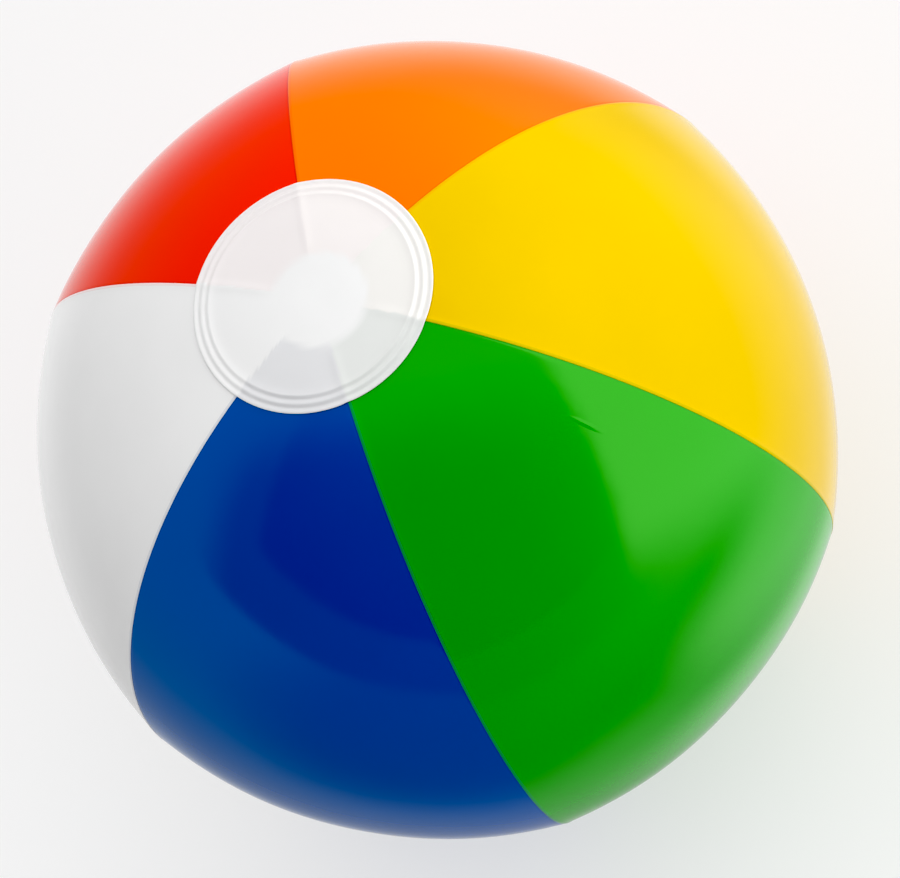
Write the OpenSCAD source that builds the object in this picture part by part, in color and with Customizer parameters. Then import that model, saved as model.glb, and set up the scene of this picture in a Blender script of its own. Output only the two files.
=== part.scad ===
// Inflatable beach ball with six welded panels, two end discs and a push-in valve.
// The polar axis is +Z and the origin is the centre of the ball. The plain disc is on
// top and the valve disc is at the bottom, where the valve opens downwards.

/* [Ball] */
// Diameter across the seams at the equator, blown up firm
ball_d = 340; // [300:5:420]
// How much flatter the middle of a panel is than its seams
panel_flat = 3; // [1.5:0.5:5]
// How much shorter the ball is between its poles than across its seams
pole_flat = 18; // [12:1:26]
// Thickness of the PVC film
film = 0.25; // [0.2:0.05:0.4]
// Radius of the open hole that the panel tips leave at each pole
tip_r = 18; // [16:1:24]

/* [End discs] */
// Diameter of each end disc
disc_d = 93.5; // [80:0.5:110]
// Thickness of the disc film
disc_t = 0.3; // [0.25:0.05:0.5]
// Height that each weld ridge stands over the disc
ridge_h = 0.5; // [0.3:0.1:0.8]
// Radius of the outermost weld ridge
ridge_r = 46; // [40:0.5:46]
// Step from one weld ridge to the next
ridge_step = 3.1; // [2.5:0.1:4]

/* [Valve] */
// Outer radius of the flange that is welded round the valve hole
flange_r = 15; // [13:0.5:17]
// Outer radius of the stem
stem_r = 4.5; // [4.3:0.1:5]
// Radius of the air bore
bore_r = 3; // [2.8:0.1:3.2]
// Length of the stem
stem_len = 12.5; // [11:0.5:14]
// Radius of the plug's cap
cap_r = 5; // [4.6:0.1:5.4]
// Distance of the strap's fold from the stem's axis
strap_reach = 8; // [7.6:0.1:8.2]

/* [Hidden] */
$fn = 96;
fine = 360;
// How far a cut runs on past the piece that it cuts
over = 1;

// A panel is a strip of a torus, so that it is tight from pole to pole and nearly flat across.
// The torus axis lies gore_offset beyond the ball's axis, on the side away from the panel.
panels = 6;
half_turn = 180 / panels;
seam_r = ball_d / 2;
middle_r = seam_r - panel_flat;
gore_offset = (seam_r * seam_r - middle_r * middle_r) / (2 * (middle_r - seam_r * cos(half_turn)));
gore_r = (ball_d - pole_flat) / 2;
gore_centre = middle_r + gore_offset - gore_r;

// A disc lies over the tips on one ring-shaped surface: flat out to dome_r, then curved as the
// panels are, with room for the seams under it
dome_gap = 0.08;
disc_r = disc_d / 2;
dome_r = disc_r - sqrt(disc_r * disc_r + 2 * disc_r * gore_offset * cos(half_turn)
    + gore_offset * gore_offset) + gore_centre;
dome_h = gore_r + dome_gap;
face_h = dome_h + disc_t;
ridge_w = 1.3;
ridges = 3;

// Valve sizes, with w measured outwards from the flat face of the bottom disc
hole_r = 9.7;
neck_r = 9.6;
throat_r = 9;
flange_t = 0.3;
neck_depth = 1.5;
skirt_t = 0.5;
collar_r = 5.4;
collar_t = 1;
mouth_r = 3.4;
mouth_depth = 1;
cap_t = 1;
cap_gap = 0.05;
stopper_len = 3.2;
stopper_r = 2.9;
stopper_tip_r = 2.2;
stopper_land = 0.8;
strap_w = 3;
strap_t = 0.7;
fold_h = cap_gap + strap_t / 2;
lug_t = 1.2;
lug_over = 0.2;
flap_r = 3.9;
flap_t = 0.3;
flap_gap = 0.05;
flap_hinge = 4.3;

// The part of the half-plane x > 0 between two radii
module band(inner, outer, height) {
    translate([inner, -height]) square([outer - inner, 2 * height]);
}

// Film of thickness t that stands on a circle of radius r round the point (centre, 0)
module arc_film(centre, r, t, inner, outer) {
    intersection() {
        difference() {
            translate([centre, 0]) circle(r + t, $fn = fine);
            translate([centre, 0]) circle(r, $fn = fine);
        }
        translate([inner, 0]) square([outer - inner, r + t + over]);
    }
}

// One panel, pole to pole, in the given place round the ball
module panel(place) {
    reach = 2 * seam_r;
    rotate([0, 0, (2 * place + 1) * half_turn]) difference() {
        intersection() {
            translate([-gore_offset, 0, 0]) rotate([0, 0, -half_turn])
                rotate_extrude(angle = 2 * half_turn) intersection() {
                    difference() {
                        translate([gore_centre, 0]) circle(gore_r);
                        translate([gore_centre, 0]) circle(gore_r - film);
                    }
                    band(gore_centre, 2 * seam_r, seam_r);
                }
            linear_extrude(height = 2 * seam_r, center = true) polygon([
                [0, 0],
                [reach * cos(half_turn), -reach * sin(half_turn)],
                [reach * cos(half_turn), reach * sin(half_turn)]
            ]);
        }
        cylinder(h = 2 * seam_r, r = tip_r, center = true);
    }
}

module panel_red() { color([0.94, 0.1, 0.02]) panel(0); }
module panel_white() { color([0.95, 0.95, 0.95]) panel(1); }
module panel_blue() { color([0, 0.1, 0.55]) panel(2); }
module panel_green() { color([0, 0.62, 0.05]) panel(3); }
module panel_yellow() { color([0.97, 0.85, 0]) panel(4); }
module panel_orange() { color([1, 0.52, 0]) panel(5); }

// Half section of a disc: a flat middle, a curved rim and its weld ridges
module disc_section() {
    translate([0, dome_h]) square([dome_r, disc_t]);
    arc_film(dome_r, dome_h, disc_t, dome_r, disc_r);
    for (i = [0 : ridges - 1]) ridge_section(ridge_r - i * ridge_step);
}

// Section of one weld ridge, rounded on top and rooted in the middle of the film
module ridge_section(r) {
    tilt = asin((r - dome_r) / face_h);
    difference() {
        translate([r, face_h * cos(tilt) + ridge_h - ridge_w / 2]) circle(ridge_w / 2);
        translate([dome_r, 0]) circle(dome_h + disc_t / 2, $fn = fine);
    }
}

module top_disc() {
    color([0.93, 0.93, 0.94]) rotate_extrude() disc_section();
}

module bottom_disc() {
    color([0.93, 0.93, 0.94]) rotate([180, 0, 0]) difference() {
        rotate_extrude() disc_section();
        cylinder(h = 2 * seam_r, r = hole_r);
    }
}

// Puts valve pieces, drawn with w along +Z, onto the bottom disc
module on_valve() {
    rotate([180, 0, 0]) translate([0, 0, face_h]) children();
}

// Ring welded over the edge of the valve hole, with a short neck through it
module valve_flange() {
    color([0.9, 0.9, 0.9]) rotate([180, 0, 0]) rotate_extrude() {
        arc_film(dome_r, face_h, flange_t, throat_r, flange_r);
        translate([throat_r, face_h - neck_depth]) square([neck_r - throat_r, neck_depth + flange_t / 2]);
    }
}

// Soft skirt between the flange's neck and the stem's foot, turned in with the stem
module valve_membrane() {
    top = -cap_gap;
    foot = collar_t - stem_len;
    color([0.9, 0.9, 0.9]) on_valve() rotate_extrude() polygon([
        [throat_r, top], [throat_r, -neck_depth],
        [collar_r, foot], [collar_r - skirt_t, foot],
        [throat_r - skirt_t, -neck_depth + skirt_t], [throat_r - skirt_t, top]
    ]);
}

// Tube that the ball is blown up through, with a foot collar and the lug of the plug's strap
module valve_stem() {
    lug_end = strap_reach + lug_over;
    color([0.93, 0.93, 0.93]) on_valve() difference() {
        union() {
            translate([0, 0, -stem_len]) cylinder(h = stem_len, r = stem_r);
            translate([0, 0, -stem_len]) cylinder(h = collar_t, r = collar_r);
            translate([-lug_end, -strap_w / 2, -lug_t])
                cube([lug_end - (bore_r + stem_r) / 2, strap_w, lug_t]);
        }
        translate([0, 0, -stem_len - over]) cylinder(h = stem_len + 2 * over, r = bore_r);
        translate([0, 0, -mouth_depth])
            cylinder(h = 2 * mouth_depth, r1 = bore_r, r2 = 2 * mouth_r - bore_r);
    }
}

// Cap and tapered stopper that close the stem
module valve_plug() {
    color([0.95, 0.95, 0.95]) on_valve() {
        translate([0, 0, cap_gap]) cylinder(h = cap_t, r = cap_r);
        translate([0, 0, -stopper_land]) cylinder(h = stopper_land + cap_gap + cap_t / 2, r = stopper_r);
        translate([0, 0, -stopper_len])
            cylinder(h = stopper_len - stopper_land, r1 = stopper_tip_r, r2 = stopper_r);
    }
}

// Band that ties the cap to the stem and folds at its outer end
module plug_strap() {
    color([0.95, 0.95, 0.95]) on_valve() difference() {
        union() {
            translate([-strap_reach, -strap_w / 2, cap_gap]) cube([strap_reach - stopper_r, strap_w, strap_t]);
            translate([-strap_reach, strap_w / 2, fold_h]) rotate([90, 0, 0])
                cylinder(h = strap_w, r = strap_t / 2);
        }
        cylinder(h = 2 * (cap_t + over), r = cap_r, center = true);
    }
}

// Thin disc that falls over the inner end of the stem and keeps the air in, with a rounded
// hinge edge
module check_flap() {
    color([0.85, 0.88, 0.9]) on_valve() translate([0, 0, -stem_len - flap_gap - flap_t])
        union() {
            cylinder(h = flap_t, r = flap_r);
            translate([0, -strap_w / 2, 0]) cube([flap_hinge, strap_w, flap_t]);
            translate([flap_hinge, strap_w / 2, flap_t / 2]) rotate([90, 0, 0])
                cylinder(h = strap_w, r = flap_t / 2);
        }
}

panel_red();
panel_orange();
panel_yellow();
panel_green();
panel_blue();
panel_white();
top_disc();
bottom_disc();
valve_flange();
valve_membrane();
valve_stem();
valve_plug();
plug_strap();
check_flap();
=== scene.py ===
# %% [markdown]
# # An inflatable beach ball
#
# Six gores of glossy PVC film are welded edge to edge, a white disc is welded over the tips
# at each pole, and a soft valve sits in the middle of the lower disc. Nothing holds the
# shape but air, so everything you see is thin film under tension. This notebook loads the
# ball's frame, lays fresh film over it, and then builds the valve, the finishes and a
# simple table-top set.

import math

import bmesh
import bpy
from mathutils import Matrix, Vector


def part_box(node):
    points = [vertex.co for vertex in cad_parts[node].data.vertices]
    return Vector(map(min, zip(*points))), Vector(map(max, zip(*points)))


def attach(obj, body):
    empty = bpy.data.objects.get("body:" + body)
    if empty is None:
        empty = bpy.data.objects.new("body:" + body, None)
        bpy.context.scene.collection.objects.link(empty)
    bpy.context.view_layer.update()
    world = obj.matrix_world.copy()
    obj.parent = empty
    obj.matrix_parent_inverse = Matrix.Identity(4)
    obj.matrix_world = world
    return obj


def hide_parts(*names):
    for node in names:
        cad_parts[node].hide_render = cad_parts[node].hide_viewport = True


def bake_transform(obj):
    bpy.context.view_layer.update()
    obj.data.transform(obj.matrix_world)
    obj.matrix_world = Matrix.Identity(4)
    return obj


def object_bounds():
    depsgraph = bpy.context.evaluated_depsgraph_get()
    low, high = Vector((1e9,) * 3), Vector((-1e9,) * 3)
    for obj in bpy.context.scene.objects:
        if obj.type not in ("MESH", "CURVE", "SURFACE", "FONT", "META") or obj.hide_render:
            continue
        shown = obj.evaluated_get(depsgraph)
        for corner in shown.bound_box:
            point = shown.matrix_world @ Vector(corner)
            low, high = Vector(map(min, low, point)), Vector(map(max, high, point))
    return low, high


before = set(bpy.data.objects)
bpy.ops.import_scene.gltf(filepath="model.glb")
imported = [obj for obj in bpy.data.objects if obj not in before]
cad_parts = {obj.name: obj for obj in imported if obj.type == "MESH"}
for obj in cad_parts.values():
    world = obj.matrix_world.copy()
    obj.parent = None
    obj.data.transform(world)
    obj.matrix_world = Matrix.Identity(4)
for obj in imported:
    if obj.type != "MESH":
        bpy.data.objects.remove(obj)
cad_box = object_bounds()

# %% [markdown]
# ## Sizes
#
# The frame tells how big the ball is. Seams run through the X axis, so the width in X is
# the size across the seams. The depth in Y is measured at the middle of the panels. The top
# of the plain disc gives the height of the poles. The film's own sizes are too fine to read
# from a box, so they are repeated here.

# %% Sizes read from the frame, in metres
MM = 0.001
seam_r = 2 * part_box("panel_white")[1].x
middle_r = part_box("panel_white")[1].y
face_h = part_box("top_disc")[1].z
disc_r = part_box("top_disc")[1].x
film_t = 0.25 * MM
disc_t = 0.3 * MM
disc_gap = 0.08 * MM
gore_r = face_h - disc_t - disc_gap
print(f"seams {seam_r:.4f}, panel middles {middle_r:.4f}, face {face_h:.4f}, disc {disc_r:.4f}")

# %% [markdown]
# ## The shape of the skin
#
# A panel under pressure is tight from pole to pole and nearly flat across, so it is a strip
# of a torus. The torus axis stands beyond the ball's own axis, on the side away from the
# panel. Two facts fix it: where the seams are, and how much lower the panel's middle is.
# Every point of the film is then named by two angles: its turn round the ball, and its rise
# along the tube of the torus. A last number lifts it off the skin, along the normal.

# %% A point on the skin
PANELS = 6
HALF = math.pi / PANELS
PANEL_TURN = 2 * HALF
gore_offset = (seam_r**2 - middle_r**2) / (2 * (middle_r - seam_r * math.cos(HALF)))
gore_centre = middle_r + gore_offset - gore_r


def across(turn):
    """Angle from the middle of the panel that this turn falls on."""
    return turn % PANEL_TURN - HALF


def skin(turn, rise, lift=0.0):
    """A point of the skin, with the film's normal there used to lift it."""
    reach = gore_centre + gore_r * math.cos(rise)
    side = across(turn)
    out = math.sqrt(reach**2 - (gore_offset * math.sin(side)) ** 2) - gore_offset * math.cos(side)
    middle = turn - side
    spot = Vector((out * math.cos(turn), out * math.sin(turn), gore_r * math.sin(rise)))
    axis = -gore_offset * Vector((math.cos(middle), math.sin(middle), 0))
    away = Vector((spot.x - axis.x, spot.y - axis.y, 0)).normalized()
    normal = away * math.cos(rise) + Vector((0, 0, math.sin(rise)))
    return spot + lift * normal


def rise_at(turn, radius):
    """The rise at which the skin is this far from the ball's axis."""
    reach = math.sqrt(radius**2 + 2 * radius * gore_offset * math.cos(across(turn)) + gore_offset**2)
    return math.acos((reach - gore_centre) / gore_r)


print(f"torus offset {gore_offset:.4f}, tube centre {gore_centre:.4f}, tube radius {gore_r:.4f}")

# %% [markdown]
# ## A hand-made ball isn't even
#
# The gores are cut in stacks and guided into the welder by hand, so no two panels end up
# the same width. Each seam is a degree or two off its place, it leans a little on its way up
# to the plain disc, and that disc is a few millimetres off centre. The drift is eased from
# one seam to the next, so no panel gets a kink.

# %% How far each seam has drifted, in degrees
SEAM_DRIFT = (1.0, -2.0, 1.9, 0.55, -0.95, -0.55)
SEAM_LEAN = (-4.35, 1.05, -1.75, -0.8, -0.25, 1.55)
DISC_SHIFT = Vector((5.2 * MM, 2.9 * MM))


def seam_turn(seam, rise):
    """How far a seam lies off its place at this rise; it leans on its way to the plain disc."""
    seam = seam % PANELS
    lean = math.sin(max(0, rise)) ** 2
    return math.radians(SEAM_DRIFT[seam] + SEAM_LEAN[seam] * lean)


def drift(turn, rise):
    """Drift of the film here, eased from one seam to the next."""
    place = turn / PANEL_TURN
    first = math.floor(place)
    ease = place - first
    ease = ease * ease * (3 - 2 * ease)
    return seam_turn(first, rise) * (1 - ease) + seam_turn(first + 1, rise) * ease


def settled(spot, turn, rise):
    """The spot, turned about the ball's axis by the drift of the film there."""
    return Matrix.Rotation(drift(turn, rise), 3, "Z") @ spot


print("seams at", [round(math.degrees(i * PANEL_TURN + seam_turn(i, 0)), 1) for i in range(PANELS)])

# %% [markdown]
# ## Finishes
#
# Blown PVC film is dyed all the way through and has a wet-looking surface. A clear coat over
# the dye could give that, but its reflections are white and make strong dyes look milky. So
# the gloss here is the shader's own, with a high index, and a specular tint that follows the
# dye. The dye is a little uneven, so a slow noise moves the colour by a few percent. Rolled
# film is never optically flat, so a faint bump breaks the reflections. Where two films are
# welded the upper one lets the lower one's colour through, and the pressed groove beside the
# weld gets painted shade, its colour darkened for the shadow in it. The mesh carries both as
# attributes: the weld tint, and the groove's painted shade.

# %% Helpers for materials
def new_material(name):
    """An empty node material with its output, and the tree to build in."""
    material = bpy.data.materials.new(name)
    material.use_nodes = True
    tree = material.node_tree
    tree.nodes.clear()
    output = tree.nodes.new("ShaderNodeOutputMaterial")
    return material, tree, output


def add(tree, kind, **settings):
    """A node of this kind, with its settings and its sockets' values."""
    node = tree.nodes.new(kind)
    for key, value in settings.items():
        if hasattr(node, key):
            setattr(node, key, value)
        else:
            node.inputs[key.replace("_", " ")].default_value = value
    return node


def mix_colour(tree, factor, first, second, blend="MIX"):
    """Mixes two colours, each of them a socket or a plain colour."""
    node = tree.nodes.new("ShaderNodeMix")
    node.data_type = "RGBA"
    node.blend_type = blend
    pairs = zip((node.inputs["Factor"], node.inputs[6], node.inputs[7]), (factor, first, second))
    for socket, value in pairs:
        if isinstance(value, bpy.types.NodeSocket):
            tree.links.new(value, socket)
        else:
            socket.default_value = value
    return node.outputs[2]


def noise_from_0_to_1(tree, scale):
    """Slow noise on Object coordinates, spread to run from 0 to 1."""
    coords = add(tree, "ShaderNodeTexCoord")
    noise = add(tree, "ShaderNodeTexNoise", Scale=scale, Detail=3)
    spread = add(tree, "ShaderNodeMapRange", From_Min=0.3, From_Max=0.7)
    tree.links.new(coords.outputs["Object"], noise.inputs["Vector"])
    tree.links.new(noise.outputs["Fac"], spread.inputs["Value"])
    return spread.outputs["Result"]


# %% Helpers for bumps
def crease_height(tree, start, end, width):
    """Height of one small ridge between two points, with nothing beside it."""
    along = (end - start).normalized()
    outward = start.normalized()
    turned_to = Matrix((along, outward.cross(along), outward)).transposed().to_euler()
    coords = add(tree, "ShaderNodeTexCoord")
    place = add(tree, "ShaderNodeMapping", vector_type="TEXTURE")
    place.inputs["Location"].default_value = (start + end) / 2
    place.inputs["Rotation"].default_value = turned_to
    place.inputs["Scale"].default_value = ((end - start).length / 2, width, (end - start).length)
    ridge = add(tree, "ShaderNodeTexGradient", gradient_type="SPHERICAL")
    tree.links.new(coords.outputs["Object"], place.inputs["Vector"])
    tree.links.new(place.outputs["Vector"], ridge.inputs["Vector"])
    return ridge.outputs["Fac"]


def faint_bump(tree, shader, scale, distance, creases=()):
    """Bump that keeps a reflection from being perfectly still, with any creases on top."""
    height = noise_from_0_to_1(tree, scale)
    for crease in creases:
        total = add(tree, "ShaderNodeMath", operation="MULTIPLY_ADD")
        total.inputs[1].default_value = CREASE_RISE
        tree.links.new(crease_height(tree, *crease), total.inputs[0])
        tree.links.new(height, total.inputs[2])
        height = total.outputs["Value"]
    bump = add(tree, "ShaderNodeBump", Strength=0.5, Distance=distance)
    tree.links.new(height, bump.inputs["Height"])
    tree.links.new(bump.outputs["Normal"], shader.inputs["Normal"])
    tree.links.new(bump.outputs["Normal"], shader.inputs["Coat Normal"])


def rgba(colour):
    """A colour with full alpha, as a socket wants it."""
    return (*colour, 1)


# %% [markdown]
# A ball that has been folded in its box keeps a few small creases. Here there is one, on the
# green panel, about a third of the way out from the plain disc. It is a fine ridge between
# two points of the skin, so it is made as a stretched round gradient in the bump, and it
# shows only where something bright is reflected.

# %% The dyes of the film, the tints of its gloss, and its crease
SHEEN = {
    "red": (0.5, 0.13, 0.03),
    "orange": (0.4, 0.3, 0.0),
    "yellow": (0.3, 0.3, 0.0),
    "green": (0.38, 1.0, 0.27),
    "blue": (0.0, 0.55, 1.0),
    "white": (1.0, 1.0, 1.0),
}
FILM_DYE = {
    "red": (0.87, 0.022, 0.002),
    "orange": (0.97, 0.17, 0.0),
    "yellow": (0.755, 0.492, 0.0),
    "green": (0.0, 0.347, 0.0),
    "blue": (0.0, 0.055, 0.355),
    "white": (0.93, 0.93, 0.93),
}
GLOSS = {"Roughness": 0.09, "IOR": 1.8, "Specular_IOR_Level": 1.0}
DYE_SCALE = 14
DYE_SPREAD = 1.06
# GROOVE_SHADE multiplies the colour in the pressed groove beside a weld: painted shade for the shadow
# there.
GROOVE_SHADE = (0.85, 0.85, 0.85, 1)
FILM_BUMP_SCALE = 60
FILM_BUMP = 0.05 * MM
CREASE_RISE = 2.6
CREASE_START = skin(math.radians(227.75), math.radians(55.9))
CREASE_END = skin(math.radians(228.4), math.radians(50.1))
CREASES = {"green": [(CREASE_START, CREASE_END, 1.2 * MM)]}
print(f"crease {(CREASE_END - CREASE_START).length / MM:.1f} mm long")


# %% The film of the panels
def film_material(colour):
    """Glossy dyed film that shows its neighbour's colour where it is welded, with painted shade in
    the groove beside the weld.
    """
    material, tree, output = new_material(colour + "_film")
    shader = add(tree, "ShaderNodeBsdfPrincipled", **GLOSS)
    dye = FILM_DYE[colour]
    paler = tuple(min(1, part * DYE_SPREAD) for part in dye)
    base = mix_colour(tree, noise_from_0_to_1(tree, DYE_SCALE), rgba(dye), rgba(paler))
    below = add(tree, "ShaderNodeAttribute", attribute_name="below")
    weld = add(tree, "ShaderNodeAttribute", attribute_name="weld")
    base = mix_colour(tree, weld.outputs["Fac"], base, below.outputs["Color"])
    # Painted shade: the colour is darkened in the pressed groove beside the weld, standing in for the
    # shadow that falls there.
    painted_groove_shade = add(tree, "ShaderNodeAttribute", attribute_name="painted_groove_shade")
    darker = mix_colour(tree, 1.0, base, GROOVE_SHADE, "MULTIPLY")
    base = mix_colour(tree, painted_groove_shade.outputs["Fac"], base, darker)
    tree.links.new(base, shader.inputs["Base Color"])
    shader.inputs["Specular Tint"].default_value = rgba(SHEEN[colour])
    faint_bump(tree, shader, FILM_BUMP_SCALE, FILM_BUMP, CREASES.get(colour, ()))
    tree.links.new(shader.outputs["BSDF"], output.inputs["Surface"])
    return material


films = {colour: film_material(colour) for colour in FILM_DYE}
print("films", sorted(films))

# %% [markdown]
# ## Panels
#
# Each panel starts as a flat grid, as the gore does. Its columns run from pole to pole and
# its rows run from seam to seam. Every vertex is then laid on the skin. Near a seam
# the columns follow it at fixed distances, a tenth of a millimetre to a few millimetres, so
# that the weld can be shaped with them. At each seam one panel lies over the other. The
# upper film is lifted a little until it has passed the lower film's edge, and the lower film
# is pressed down in front of it. Solidify then gives the film its thickness, inwards. A
# panel is a sheet held stretched, so its flat cut is measured and printed.

# %% Seams: which panel lies on top
PANEL_ORDER = ["red", "white", "blue", "green", "yellow", "orange"]
UPPER_AT_SEAM = ["orange", "white", "white", "green", "yellow", "yellow"]
# columns beside a seam: distance past it and lift, in millimetres
OVER_EDGE = [
    (0, 0.03), (0.15, 0.09), (0.4, 0.13), (0.75, 0.14), (1.1, 0.14),
    (1.15, 0.135), (1.7, 0.08), (2.4, 0.02), (3.4, 0),
]
UNDER_EDGE = [
    (-1.2, -0.12), (-0.6, -0.12), (-0.15, -0.07), (0, -0.02), (0.3, -0.03),
    (0.6, -0.03), (0.65, -0.02), (1.2, 0), (2.4, 0),
]
WELD_WIDTH = 1.1
WELD_SHOWS = 0.18
GROOVE_WIDTH = 0.6
print(len(OVER_EDGE), "columns shape each side of a seam")

# %% Where a vertex of the grid goes
MIDDLE_COLUMNS = 24
ROWS = 128
TIP_R = 18 * MM
SWELL = 0.12 * MM


def undulation(turn, rise):
    """Film never pulls perfectly even: slow swells of a tenth of a millimetre or two."""
    long_wave = math.sin(5 * turn + 3 * rise) * math.cos(4 * rise - turn)
    short_wave = 0.6 * math.sin(11 * turn - 6 * rise)
    return SWELL * (long_wave + short_wave) * math.cos(rise)


def edge_columns(is_upper):
    """Columns of a panel beside a seam, for the film on top or the one below."""
    return OVER_EDGE if is_upper else UNDER_EDGE


def panel_vertex(index, column, row, edges):
    """Place, weld tint and painted groove shade of one grid vertex of panel number index."""
    first, last = edges
    count = len(first) + MIDDLE_COLUMNS + len(last)
    start = PANEL_TURN * index
    end = start + PANEL_TURN
    share = 2 * row / ROWS - 1
    out = math.hypot(*skin(start, share * rise_at(start, TIP_R)).xy)

    def past(distance):
        return math.asin(distance * MM / out)

    weld = painted_groove_shade = height = 0.0
    if len(first) <= column < count - len(last):
        low = start + past(first[-1][0])
        high = end - past(last[-1][0])
        turn = low + (high - low) * (column - len(first) + 1) / (MIDDLE_COLUMNS + 1)
    else:
        at_start = column < len(first)
        edge = first if at_start else last
        distance, height = edge[column if at_start else count - 1 - column]
        turn = start + past(distance) if at_start else end - past(distance)
        if edge is OVER_EDGE:
            weld = WELD_SHOWS if distance <= WELD_WIDTH else 0
        else:
            # mask of the painted shade in the groove in front of the upper film's edge
            painted_groove_shade = 1 if distance <= GROOVE_WIDTH else 0
    rise = share * rise_at(turn, TIP_R)
    lift = height * MM + undulation(turn, rise)
    return settled(skin(turn, rise, lift), turn, rise), weld, painted_groove_shade


# %% One panel
def finish_piece(mesh, name, material):
    """Turns a bmesh into a smooth-shaded object with one material."""
    data = bpy.data.meshes.new(name + "_skin")
    for face in mesh.faces:
        face.smooth = True
    mesh.to_mesh(data)
    mesh.free()
    piece = bpy.data.objects.new(name + "_skin", data)
    bpy.context.scene.collection.objects.link(piece)
    data.materials.append(material)
    return piece


def thicken(piece, thickness):
    """Gives a surface the thickness of its film, inwards."""
    film = piece.modifiers.new("film", "SOLIDIFY")
    film.thickness = thickness
    film.offset = -1


def make_panel(index):
    """One gore of film, laid on the skin from its flat grid, and the area of its cut."""
    colour = PANEL_ORDER[index]
    edges = (
        edge_columns(UPPER_AT_SEAM[index] == colour),
        edge_columns(UPPER_AT_SEAM[(index + 1) % PANELS] == colour),
    )
    columns = len(edges[0]) + MIDDLE_COLUMNS + len(edges[1]) - 1
    mesh = bmesh.new()
    bmesh.ops.create_grid(mesh, x_segments=columns, y_segments=ROWS, size=1, calc_uvs=True)
    weld = mesh.verts.layers.float.new("weld")
    # the groove's painted shade is carried as a vertex attribute
    painted_groove_shade = mesh.verts.layers.float.new("painted_groove_shade")
    below = mesh.verts.layers.float_color.new("below")
    neighbours = (PANEL_ORDER[index - 1], PANEL_ORDER[(index + 1) % PANELS])
    for vertex in mesh.verts:
        column = round((vertex.co.x + 1) / 2 * columns)
        row = round((vertex.co.y + 1) / 2 * ROWS)
        vertex.co, vertex[weld], vertex[painted_groove_shade] = panel_vertex(index, column, row, edges)
        vertex[below] = rgba(FILM_DYE[neighbours[column > columns / 2]])
    cut = sum(face.calc_area() for face in mesh.faces)
    piece = finish_piece(mesh, "panel_" + colour, films[colour])
    thicken(piece, film_t)
    return piece, cut


def piece_width(piece):
    """Width of a panel round the ball's middle, along the film."""
    belt = [vertex.co.copy() for vertex in piece.data.vertices if abs(vertex.co.z) < 0.1 * MM]
    first = belt[0]
    belt.sort(key=lambda co: co.cross(first).z)
    return sum((b - a).length for a, b in zip(belt, belt[1:]))


# %% All six panels
panel_length = 2 * gore_r * rise_at(HALF, TIP_R)
for index, colour in enumerate(PANEL_ORDER):
    piece, cut = make_panel(index)
    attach(piece, "root")
    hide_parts("panel_" + colour)
    flat = (max(piece_width(piece), cut / panel_length), panel_length)
    print(f"{colour} panel is cut {flat[0]:.3f} by {flat[1]:.3f} m, {cut:.4f} square metres")

# %% [markdown]
# ## End discs
#
# The discs are thicker, milky film. They are pressed between ring-shaped electrodes, which
# leave three raised ridges near the rim. The half section is drawn once, as radius and
# height, and spun. The spun disc is then laid over the panels:
# where two panels meet, their double film makes a small bump under it, and the panels'
# colours show through faintly as far as their tips reach.

# %% The disc's section
CREST_STEP = 0.065
FIRST_DIP = 0.8275
CREST_H = 0.36 * MM
COARSE_STEP = 2.2 * MM
FINE_STEP = 0.19 * MM
FINE_FROM = 0.81


def ridge_height(radius):
    """Height over plain film: three soft waves between the first dip and the rim."""
    waves = (radius / disc_r - FIRST_DIP) / CREST_STEP
    return CREST_H * (1 - math.cos(math.tau * waves)) / 2 if waves > 0 else 0.0


def section_radii(inner):
    """Radii at which the section is sampled: coarse in the middle, fine at the ridges."""
    radii = []
    radius = inner
    while radius < disc_r:
        radii.append(radius)
        radius += COARSE_STEP if radius < FINE_FROM * disc_r else FINE_STEP
    return radii + [disc_r]


print("disc section", len(section_radii(0)), "points, ridges", CREST_H / MM, "mm high")

# %% Laying the disc over the panels
TIP_FADE = (17 * MM, 24 * MM)
POLE_RISE = math.radians(75)
SEAM_BUMP = 0.28 * MM
SEAM_BUMP_WIDTH = 1.8 * MM
TIP_EDGE = (17.5 * MM, 20 * MM)
MILK = 0.7


def smoothstep(low, high, value):
    """0 below low, 1 above high, and a soft step between."""
    share = min(1, max(0, (value - low) / (high - low)))
    return share * share * (3 - 2 * share)


def dome_height(out, side):
    """Height of the skin at this distance from the axis, and its slope as a sine."""
    reach = math.sqrt(out**2 + 2 * out * gore_offset * math.cos(side) + gore_offset**2)
    sine = (reach - gore_centre) / gore_r
    return gore_r * math.sqrt(1 - sine**2), sine


def disc_point(x, y, lift, rise):
    """A point lift above the panels, at x and y, with the seams' bumps under it."""
    out = math.hypot(x, y)
    turn = math.atan2(y, x)
    turn -= drift(turn, rise)
    on_panels = smoothstep(*TIP_FADE, out)
    plain, _ = dome_height(out, HALF / 2)
    shaped, sine = dome_height(out, across(turn))
    height = plain * (1 - on_panels) + shaped * on_panels
    from_seam = out * math.sin(HALF - abs(across(turn)))
    height += SEAM_BUMP * on_panels * math.exp(-((from_seam / SEAM_BUMP_WIDTH) ** 2))
    sine = max(0, sine)
    tilt = Vector((x, y, 0)).normalized() * sine if out > 1e-6 else Vector()
    return Vector((x, y, height)) + lift * (tilt + Vector((0, 0, math.sqrt(1 - sine**2))))


def under_colour(x, y, rise):
    """Colour of the panel under the disc here, and how strongly it shows."""
    turn = math.atan2(y, x)
    turn = (turn - drift(turn, rise)) % math.tau
    dye = FILM_DYE[PANEL_ORDER[int(turn / PANEL_TURN) % PANELS]]
    pale = [(1 - MILK) * part + MILK * max(dye) for part in dye]
    return rgba(pale), smoothstep(*TIP_EDGE, math.hypot(x, y))


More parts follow.
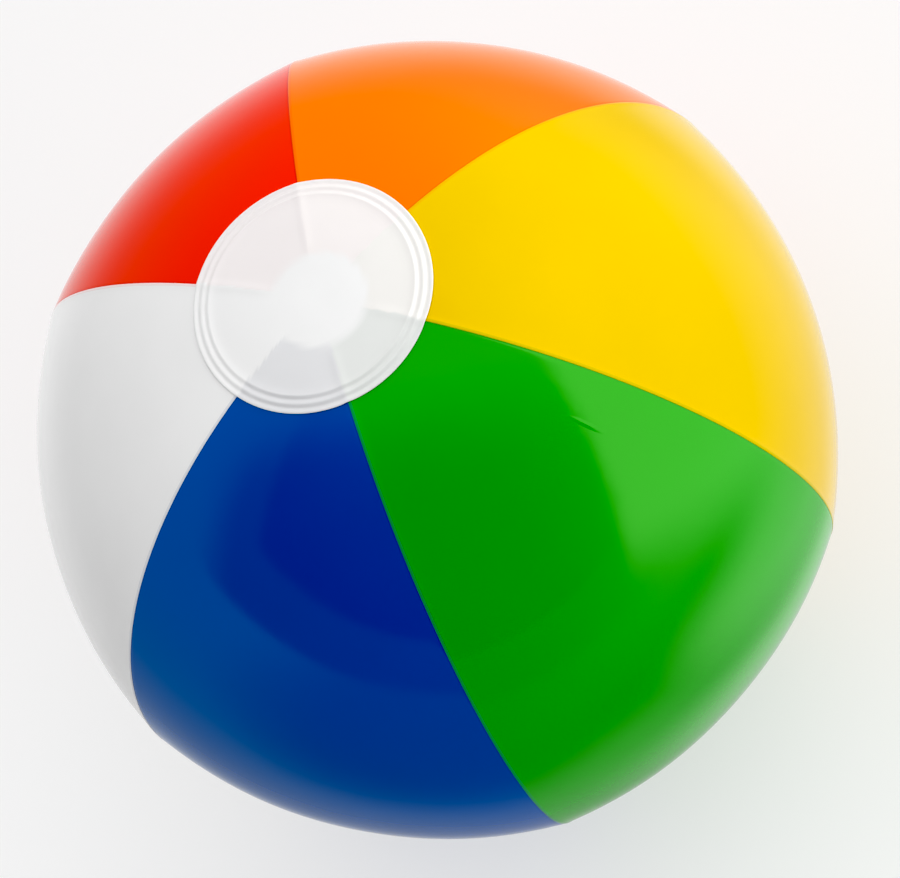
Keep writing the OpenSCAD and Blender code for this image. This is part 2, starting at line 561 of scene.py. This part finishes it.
# %% Milky film of the discs
MILK_SCALE = 30
MILK_SHADES = ((0.92, 0.92, 0.92, 1), (0.95, 0.95, 0.95, 1))
UNDER_SHOWS = 0.2
MILK_BUMP_SCALE = 90
MILK_BUMP = 0.04 * MM


def milky_material():
    """White film that lets the colour of what lies under it through a little."""
    material, tree, output = new_material("milky_film")
    shader = add(tree, "ShaderNodeBsdfPrincipled", **GLOSS)
    white = mix_colour(tree, noise_from_0_to_1(tree, MILK_SCALE), *MILK_SHADES)
    below = add(tree, "ShaderNodeAttribute", attribute_name="below")
    shows = add(tree, "ShaderNodeAttribute", attribute_name="weld")
    part = add(tree, "ShaderNodeMath", operation="MULTIPLY")
    part.inputs[1].default_value = UNDER_SHOWS
    tree.links.new(shows.outputs["Fac"], part.inputs[0])
    tinted = mix_colour(tree, part.outputs["Value"], white, below.outputs["Color"])
    tree.links.new(tinted, shader.inputs["Base Color"])
    faint_bump(tree, shader, MILK_BUMP_SCALE, MILK_BUMP)
    tree.links.new(shader.outputs["BSDF"], output.inputs["Surface"])
    return material


disc_film = milky_material()
print("disc film", disc_film.name)


# %% Both discs
DISC_STEPS = 240
VALVE_HOLE = 9.7 * MM


def make_disc(name, side, inner, shift):
    """A disc of film spun from its section and laid over the tips, at +Z or -Z."""
    mesh = bmesh.new()
    radii = section_radii(inner)
    verts = [mesh.verts.new((radius, 0, 0)) for radius in radii]
    for start, end in zip(verts, verts[1:]):
        mesh.edges.new((start, end))
    bmesh.ops.spin(
        mesh, geom=mesh.verts[:] + mesh.edges[:], cent=(0, 0, 0), axis=(0, 0, 1),
        angle=math.tau, steps=DISC_STEPS, use_merge=True,
    )
    bmesh.ops.remove_doubles(mesh, verts=mesh.verts[:], dist=0.01 * MM)
    bmesh.ops.recalc_face_normals(mesh, faces=mesh.faces[:])
    if sum(face.normal.z for face in mesh.faces) < 0:
        bmesh.ops.reverse_faces(mesh, faces=mesh.faces[:])
    below = mesh.verts.layers.float_color.new("below")
    shows = mesh.verts.layers.float.new("weld")
    for vertex in mesh.verts:
        radius = math.hypot(*vertex.co.xy)
        x, y = vertex.co.x + shift.x, vertex.co.y + shift.y
        vertex[below], vertex[shows] = under_colour(x, y, side * POLE_RISE)
        height = disc_gap + disc_t + ridge_height(radius)
        vertex.co = disc_point(x, y, height, side * POLE_RISE)
    if side < 0:
        bmesh.ops.scale(mesh, verts=mesh.verts[:], vec=(1, 1, -1))
        bmesh.ops.reverse_faces(mesh, faces=mesh.faces[:])
    piece = finish_piece(mesh, name, disc_film)
    thicken(piece, disc_t)
    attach(piece, "root")
    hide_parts(name)


make_disc("top_disc", 1, 0.0, DISC_SHIFT)
make_disc("bottom_disc", -1, VALVE_HOLE, Vector((0, 0)))
print("discs", DISC_STEPS, "steps round")

# %% [markdown]
# ## Valve
#
# The valve is one soft moulding of clear-white PVC. It bends in three places, so the pieces
# on either side of a bend ride on different bodies. All of them but the strap are round, so
# each is a closed half section, spun about the valve's axis, and a small bevel takes the
# sharpness off. Heights are measured outwards from the face of the lower disc.

# %% Soft vinyl
VINYL_SCALE = 250
VINYL_SHADE = 0.93
VINYL_BUMP_SCALE = 700
VINYL_BUMP = 0.03 * MM
VINYL_COAT = {"IOR": 1.53, "Coat_Weight": 0.4, "Coat_Roughness": 0.15}


def vinyl_material(name, colour, rough):
    """Semi-gloss moulded vinyl that light gets a little way into."""
    material, tree, output = new_material(name)
    shader = add(tree, "ShaderNodeBsdfPrincipled", Roughness=rough, **VINYL_COAT)
    shader.inputs["Subsurface Weight"].default_value = 0.25
    shader.inputs["Subsurface Radius"].default_value = (1, 1, 1)
    shader.inputs["Subsurface Scale"].default_value = 1 * MM
    darker = tuple(part * VINYL_SHADE for part in colour)
    base = mix_colour(tree, noise_from_0_to_1(tree, VINYL_SCALE), rgba(colour), rgba(darker))
    tree.links.new(base, shader.inputs["Base Color"])
    faint_bump(tree, shader, VINYL_BUMP_SCALE, VINYL_BUMP)
    tree.links.new(shader.outputs["BSDF"], output.inputs["Surface"])
    return material


vinyl = vinyl_material("moulded_vinyl", (0.85, 0.86, 0.87), 0.32)
thin_vinyl = vinyl_material("thin_vinyl", (0.78, 0.82, 0.86), 0.2)
print("vinyls", vinyl.name, thin_vinyl.name)


# %% Turned pieces
BEVEL_ANGLE = math.radians(35)


def turned(mesh, outline, steps=96):
    """Spins a closed outline of (radius, height outwards) points, in millimetres."""
    verts = [mesh.verts.new((radius * MM, 0, -(face_h + height * MM))) for radius, height in outline]
    edges = [mesh.edges.new((verts[i - 1], verts[i])) for i in range(len(verts))]
    bmesh.ops.spin(
        mesh, geom=verts + edges, cent=(0, 0, 0), axis=(0, 0, 1),
        angle=math.tau, steps=steps, use_merge=True,
    )
    bmesh.ops.remove_doubles(mesh, verts=mesh.verts[:], dist=0.001 * MM)
    bmesh.ops.recalc_face_normals(mesh, faces=mesh.faces[:])


def soften(piece, width):
    """A small rounded bevel, this many millimetres wide, on every sharp edge."""
    bevel = piece.modifiers.new("soft edges", "BEVEL")
    bevel.width = width * MM
    bevel.segments = 2
    bevel.limit_method = "ANGLE"
    bevel.angle_limit = BEVEL_ANGLE
    return piece


def fitted(piece, body, node):
    """Puts a piece on its body, in the place of a plain node."""
    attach(piece, body)
    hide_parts(node)


# %% [markdown]
# The flange is a flat ring, thickest at the hole and feathered at its edge, with a short
# neck that reaches through the hole. Its profile is listed as radius and height outwards.

# %% Flange
FLANGE = [
    (9, 0.28), (9, -1.5), (9.6, -1.5), (9.6, -0.02), (12, -0.02), (15, -0.12),
    (15, 0.06), (14.4, 0.22), (12, 0.3), (9.6, 0.34),
]
mesh = bmesh.new()
turned(mesh, FLANGE)
flange = soften(finish_piece(mesh, "valve_flange", vinyl), 0.08)
fitted(flange, "root", "valve_flange")
print("flange", len(flange.data.vertices), "vertices")

# %% [markdown]
# The skirt hangs between the flange's neck and the stem's foot. It is thin and soft, so it
# is the one piece that has to change shape: its outer rim stays with the ball, and its foot
# goes with the stem. Here it is only built in place, and rides on no body.

# %% Skirt
SKIRT_STEPS = 24
SKIRT_SAG = 0.35
NARROWS = 3.6
outside = [(9, -0.05), (9, -1.5)]
inside = [(8.5, -0.05), (8.5, -1.0)]
for step in range(1, SKIRT_STEPS + 1):
    share = step / SKIRT_STEPS
    sag = SKIRT_SAG * math.sin(math.pi * share)
    inwards = NARROWS * share + 0.4 * sag
    outside.append((9 - inwards, -1.5 - 10 * share - sag))
    inside.append((8.5 - inwards, -1.0 - 10.5 * share - sag))
mesh = bmesh.new()
turned(mesh, outside + inside[::-1])
skirt = finish_piece(mesh, "valve_membrane", vinyl)
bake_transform(skirt)
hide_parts("valve_membrane")
print("skirt", len(skirt.data.vertices), "vertices")

# %% [markdown]
# The stem is a tube with a foot collar. The lug that holds the plug's strap sticks out of
# its mouth on one side. The lug is a small block with rounded edges, so it starts as a cube
# and is joined to the tube's mesh.

# %% Stem
STEM = [
    (3, -12.5), (5.4, -12.5), (5.4, -11.5), (4.9, -11.45), (4.5, -11.1), (4.5, -0.15), (4.4, 0),
    (3.4, 0), (3, -1),
]


def block(mesh, low, high, bevel):
    """A block between two corners (x, y, height outwards), in millimetres, edges rounded."""
    made = bmesh.ops.create_cube(mesh, size=1)["verts"]
    size = [(b - a) * MM for a, b in zip(low, high)]
    middle = [(a + b) / 2 * MM for a, b in zip(low, high)]
    bmesh.ops.scale(mesh, verts=made, vec=size)
    bmesh.ops.translate(mesh, verts=made, vec=(middle[0], middle[1], -(face_h + middle[2])))
    edges = list({edge for vertex in made for edge in vertex.link_edges})
    bmesh.ops.bevel(
        mesh, geom=edges, offset=bevel * MM, affect="EDGES", segments=3, profile=0.5, material=-1,
    )


mesh = bmesh.new()
turned(mesh, STEM)
block(mesh, (-8.2, -1.5, -1.2), (-3.9, 1.5, -0.02), 0.3)
stem = soften(finish_piece(mesh, "valve_stem", vinyl), 0.08)
fitted(stem, "stem", "valve_stem")
print("stem", len(stem.data.vertices), "vertices")

# %% [markdown]
# The plug is one turned piece: a dished cap with a rolled rim, and a hollow stopper that
# tapers so that it can be pushed home with a thumb. Its strap is a band that folds at its
# outer end; here it is a flat block with rounded edges, on the plug's body.

# %% Plug and strap
PLUG = [
    (0, 1.0), (3.2, 1.0), (4.1, 1.06), (4.8, 1.02), (5, 0.85), (5, 0.05), (2.9, 0.05),
    (2.9, -0.8), (2.2, -3.2), (1.4, -3.2), (1.3, -0.5), (0, -0.35),
]
mesh = bmesh.new()
turned(mesh, PLUG)
plug = soften(finish_piece(mesh, "valve_plug", vinyl), 0.1)
fitted(plug, "plug", "valve_plug")

mesh = bmesh.new()
block(mesh, (-8.35, -1.5, 0.05), (-4.85, 1.5, 0.75), 0.28)
strap = finish_piece(mesh, "plug_strap", vinyl)
fitted(strap, "plug", "plug_strap")
print("plug", len(plug.data.vertices), "strap", len(strap.data.vertices), "vertices")

# %% [markdown]
# The check flap is a disc cut from clear film, with a tab that is welded to the stem's foot.

# %% Check flap
FLAP = [(0, -12.56), (3.2, -12.56), (3.9, -12.58), (3.9, -12.82), (3.2, -12.85), (0, -12.85)]
mesh = bmesh.new()
turned(mesh, FLAP, steps=72)
block(mesh, (3.2, -1.5, -12.85), (4.45, 1.5, -12.55), 0.1)
flap = finish_piece(mesh, "check_flap", thin_vinyl)
fitted(flap, "flap", "check_flap")
print("flap", len(flap.data.vertices), "vertices")

# %% [markdown]
# ## Table, light and camera
#
# The ball stands on a plain white table. The camera looks steeply down on it, from far off
# and through a long lens, so the ball is hardly distorted.

# %% Camera
LENS = 104.5
LENS_SHIFT = 0.0152
LOOK_AZIMUTH = math.radians(-157.73)
LOOK_ELEVATION = math.radians(65.42)
LOOK_ROLL = math.radians(-40.2)
LOOK_DISTANCE = 6.5 * seam_r

back = Vector((
    math.cos(LOOK_ELEVATION) * math.cos(LOOK_AZIMUTH),
    math.cos(LOOK_ELEVATION) * math.sin(LOOK_AZIMUTH),
    math.sin(LOOK_ELEVATION),
))
level = back.to_track_quat("Z", "Y").to_matrix().to_4x4()
camera = bpy.data.objects.new("camera", bpy.data.cameras.new("camera"))
camera.matrix_world = (
    Matrix.Translation(back * LOOK_DISTANCE) @ level @ Matrix.Rotation(LOOK_ROLL, 4, "Z")
)
camera.data.lens = LENS
camera.data.shift_x = LENS_SHIFT
bpy.context.scene.collection.objects.link(camera)
bpy.context.scene.camera = camera
print(f"camera {LOOK_DISTANCE:.3f} m away, lens {LENS} mm")

# %% [markdown]
# The table is a round white sheet that glows a little, as a lit table does when a picture is
# exposed for the ball. The glow keeps its shadow soft. Seen from below the sheet is clear,
# so the valve can be looked at, and the ball's gloss doesn't reflect it.

# %% Table
TABLE_R = 9
TABLE_GREY = 0.38
TABLE_GLOW = 0.56


def grey(level):
    """A grey of this level, as a socket wants it."""
    return (level, level, level, 1)


def table_material():
    """Matt, a little lit, and clear from below."""
    material, tree, output = new_material("table")
    matt = add(tree, "ShaderNodeBsdfDiffuse", Color=grey(TABLE_GREY))
    lit = add(tree, "ShaderNodeEmission", Strength=TABLE_GLOW)
    sheet = add(tree, "ShaderNodeAddShader")
    tree.links.new(matt.outputs["BSDF"], sheet.inputs[0])
    tree.links.new(lit.outputs["Emission"], sheet.inputs[1])
    clear = add(tree, "ShaderNodeBsdfTransparent")
    face = add(tree, "ShaderNodeNewGeometry")
    one_way = add(tree, "ShaderNodeMixShader")
    tree.links.new(face.outputs["Backfacing"], one_way.inputs["Fac"])
    tree.links.new(sheet.outputs["Shader"], one_way.inputs[1])
    tree.links.new(clear.outputs["BSDF"], one_way.inputs[2])
    tree.links.new(one_way.outputs["Shader"], output.inputs["Surface"])
    return material


mesh = bmesh.new()
bmesh.ops.create_circle(mesh, cap_ends=True, segments=96, radius=TABLE_R)
bmesh.ops.translate(mesh, verts=mesh.verts[:], vec=(0, 0, cad_box[0][2]))
table = finish_piece(mesh, "table", table_material())
table.visible_glossy = False
print(f"table at {cad_box[0][2]:.4f} m")

# %% [markdown]
# ## The room
#
# A glossy ball shows the room that it is in, so the world is painted with one: a tall bright
# window on one side, its glow on the wall, a dim ceiling, somebody's dark shape in front of
# it, and the lit table behind. Real lamps and walls could do that too, but a painted room is
# quick and doesn't get in the way of a camera. Each part is a half of the sphere, cut
# softly by a plane through the ball, and parts are multiplied to make corners.

# %% How bright each part of the room is
WINDOW_LEVEL = 1.15
ROOM_LEVEL = 0.45
SIDE_LEVEL = 1.0
CORNER_LEVEL = 0.2
GLOW_LEVEL = 0.5
EDGE_LEVEL = 1.1
LOW_LEVEL = 0.22
DUSK_LEVEL = 0.12
DIM_LEVEL = 0.0
FAR_LEVEL = 0.95
WALL_LEVEL = 0.85
print("window to room", round(WINDOW_LEVEL / ROOM_LEVEL, 1), "to 1")

# %% Helpers for painting the room
world = bpy.data.worlds.new("room")
bpy.context.scene.world = world
world.use_nodes = True
tree = world.node_tree
tree.nodes.clear()
ray = add(tree, "ShaderNodeTexCoord")
look = camera.matrix_world.to_3x3()


def room_side(direction, start, end):
    """0 to 1 across the room, along a direction given as right, up and towards the camera."""
    dot = add(tree, "ShaderNodeVectorMath", operation="DOT_PRODUCT")
    dot.inputs[1].default_value = look @ Vector(direction).normalized()
    tree.links.new(ray.outputs["Generated"], dot.inputs[0])
    ramp = add(tree, "ShaderNodeMapRange", interpolation_type="SMOOTHSTEP")
    ramp.inputs["From Min"].default_value = start
    ramp.inputs["From Max"].default_value = end
    tree.links.new(dot.outputs["Value"], ramp.inputs["Value"])
    return ramp.outputs["Result"]


def beyond(first, second, soft):
    """The room on the left of the line from one point to another, one unit from the ball."""
    edge = Vector((*first, 1)).cross(Vector((*second, 1)))
    return room_side(edge, -soft, soft)


def both(first, second):
    """The part of the room that is in both."""
    node = add(tree, "ShaderNodeMath", operation="MULTIPLY")
    tree.links.new(first, node.inputs[0])
    tree.links.new(second, node.inputs[1])
    return node.outputs["Value"]


def paint(room, part, level):
    """The room with one more part of it painted, in grey."""
    return mix_colour(tree, part, room, grey(level))


# %% Floor level, the corner and the two bright strips beside the ball
low = room_side((-0.05, -1, 0), 0.7, 0.96)
room = paint(grey(ROOM_LEVEL), low, LOW_LEVEL)
corner = both(room_side((1, -0.8, 0), 0.5, 0.85), room_side((0, 0, 1), -0.5, -0.1))
room = paint(room, corner, CORNER_LEVEL)
beside = both(room_side((1, 0.1, 0), 0.55, 0.8), room_side((0, 0, -1), -0.1, 0.35))
room = paint(room, beside, SIDE_LEVEL)
edge = both(room_side((1, 0.2, 0), 0.1, 0.5), room_side((0, 0, -1), 0.5, 0.95))
room = paint(room, edge, EDGE_LEVEL)

# %% Two nested dark shapes: the ceiling, and whoever stands in front of it
shade = beyond((0.4, 0.12), (-0.5, 0.12), 0.25)
dusk = both(beyond((-0.7, 0.6), (-1.9, -0.7), 0.1), room_side((0, 0, 1), 0.26, 0.32))
dusk = both(dusk, shade)
room = paint(room, dusk, DUSK_LEVEL)
dim = both(shade, beyond((-0.85, 0.1), (-1.4, -0.9), 0.03))
dim = both(dim, room_side((0, 0, 1), 0.53, 0.57))
room = paint(room, dim, DIM_LEVEL)

# %% The window, from its near edge to its sill, and its glow on the wall in front of it
WINDOW_EDGE = ((1.49, -0.89), (0.45, 0.33))
right = room_side((1, 0, 0), -0.3, 0.3)
glow = both(both(beyond(*WINDOW_EDGE, -0.35), right), room_side((0, 0, 1), -0.15, 0.25))
room = paint(room, glow, GLOW_LEVEL)
window = both(beyond(*WINDOW_EDGE, -0.05), room_side((0, 1, 0.49), -0.42, -0.05))
window = both(window, both(room_side((0, 0, 1), -0.65, -0.1), right))
room = paint(room, window, WINDOW_LEVEL)

# %% The lit table far behind the ball
far = both(room_side((0, 0, -1), 0.5, 0.92), room_side((-0.2, 1, 0), -0.5, 0.2))
room = paint(room, far, FAR_LEVEL)
shine = add(tree, "ShaderNodeBackground")
tree.links.new(room, shine.inputs["Color"])

# %% The camera sees a plain wall instead of the painted room
wall = add(tree, "ShaderNodeBackground")
wall.inputs["Color"].default_value = grey(WALL_LEVEL)
seen = add(tree, "ShaderNodeLightPath")
scenery = add(tree, "ShaderNodeMixShader")
tree.links.new(seen.outputs["Is Camera Ray"], scenery.inputs["Fac"])
tree.links.new(shine.outputs["Background"], scenery.inputs[1])
tree.links.new(wall.outputs["Background"], scenery.inputs[2])
world_out = add(tree, "ShaderNodeOutputWorld")
tree.links.new(scenery.outputs["Shader"], world_out.inputs["Surface"])
print("room painted with", len(tree.nodes), "nodes")

# %% [markdown]
# Three soft lamps light the film itself: a large one overhead, and two smaller ones that
# lift the sides of the ball that the window and the table would light. They are hidden from
# the gloss, which has its painted room.

# %% Soft lamps
def soft_lamp(name, size, energy, place):
    """A square lamp that shines at the ball and doesn't show in its gloss."""
    lamp = bpy.data.objects.new(name, bpy.data.lights.new(name, "AREA"))
    lamp.data.size = size
    lamp.data.energy = energy
    lamp.matrix_world = Matrix.Translation(place) @ place.to_track_quat("Z", "Y").to_matrix().to_4x4()
    lamp.visible_glossy = False
    bpy.context.scene.collection.objects.link(lamp)


soft_lamp("lamp", 3, 43, Vector((0, 0, 2.5)))
side = look @ Vector((1.9, -1.1, 0.2))
soft_lamp("side_lamp", 1.5, 15, Vector((side.x, side.y, 0.4)))
soft_lamp("far_lamp", 1.5, 12, look @ Vector((0.3, 2.2, 0.0)))
print("lamps", [lamp.name for lamp in bpy.data.lights])

# %% [markdown]
# ## Print
#
# The picture is printed a little hard, as pictures of toys are: the darkest greys go to
# black, which leaves the dyes pure. The standard view keeps strong colours as they are.

# %% Print
BLACK_POINT = 0.028
print_settings = bpy.context.scene.view_settings
print_settings.view_transform = "Standard"
print_settings.use_curve_mapping = True
print_settings.curve_mapping.black_level = (BLACK_POINT, BLACK_POINT, BLACK_POINT)
print_settings.curve_mapping.update()
print("black point", BLACK_POINT)
